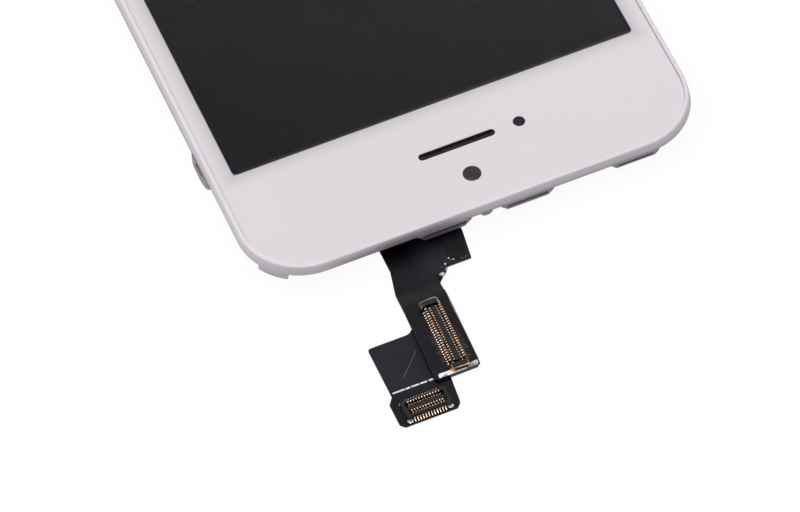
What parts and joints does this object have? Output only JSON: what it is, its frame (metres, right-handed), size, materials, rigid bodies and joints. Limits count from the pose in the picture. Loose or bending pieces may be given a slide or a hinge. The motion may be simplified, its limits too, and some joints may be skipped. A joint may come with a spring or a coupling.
{
  "type": "phone display assembly",
  "caption": "Slim white-fronted phone display panel: cover glass, display cell and backlight in a moulded rim with hooks and clips, with two flexes ending in board connectors.",
  "frame": {"origin": "under the middle of the viewing window, on the plane that the side clips stand on, where the assembly closes the rear case", "axes": "+X across the panel, +Y along it towards the home-button end, +Z out of the front glass"},
  "size_m": [0.058, 0.1466, 0.0039],
  "materials": {
    "front_glass": "polished",
    "white_ink": "gloss",
    "sensor_ink": "gloss",
    "clear_adhesive": "clear",
    "polarizer_film": "gloss",
    "cell_glass": "polished",
    "chip_silicon": "satin",
    "optical_film": "satin",
    "guide_acrylic": "clear",
    "reflector_film": "mirror",
    "strip_film": "satin",
    "lamp_phosphor": "gloss",
    "backlight_plastic": "matt",
    "tray_steel": "satin",
    "rim_plastic": "satin",
    "ring_adhesive": "matt",
    "rail_steel": "satin",
    "lug_steel": "satin",
    "mesh_steel": "woven",
    "gasket_rubber": "matt",
    "collar_plastic": "matt",
    "flex_film": "satin",
    "tape_black": "matt",
    "stiffener_steel": "satin",
    "connector_plastic": "matt",
    "contact_gold": "plated",
    "nail_tin": "plated",
    "glue": "wet"
  },
  "bodies": {
    "root": {"cover_glass": "front_glass", "border_print": "white_ink", "sensor_window": "sensor_ink", "optical_adhesive": "clear_adhesive", "front_polarizer": "polarizer_film", "colour_filter_glass": "cell_glass", "array_glass": "cell_glass", "driver_chip": "chip_silicon", "rear_polarizer": "polarizer_film", "upper_prism_sheet": "optical_film", "lower_prism_sheet": "optical_film", "diffuser_sheet": "optical_film", "light_guide": "guide_acrylic", "reflector_sheet": "reflector_film", "led_strip": "strip_film", "leds": "lamp_phosphor", "backlight_frame": "backlight_plastic", "backlight_tray": "tray_steel", "front_frame": "rim_plastic", "frame_adhesive": "ring_adhesive", "side_rail_left": "rail_steel", "side_rail_right": "rail_steel", "end_lugs": "lug_steel", "earpiece_mesh": "mesh_steel", "earpiece_gasket": "gasket_rubber", "camera_holder": "collar_plastic", "sensor_holder": "collar_plastic", "display_flex": "flex_film", "touch_flex": "flex_film", "flex_tape": "tape_black", "display_stiffener": "stiffener_steel", "touch_stiffener": "stiffener_steel", "display_connector": "connector_plastic", "display_contacts": "contact_gold", "display_nails": "nail_tin", "touch_connector": "connector_plastic", "touch_contacts": "contact_gold", "touch_nails": "nail_tin", "flex_dot": "glue", "glue_bead": "glue"}
  },
  "joints": []
}
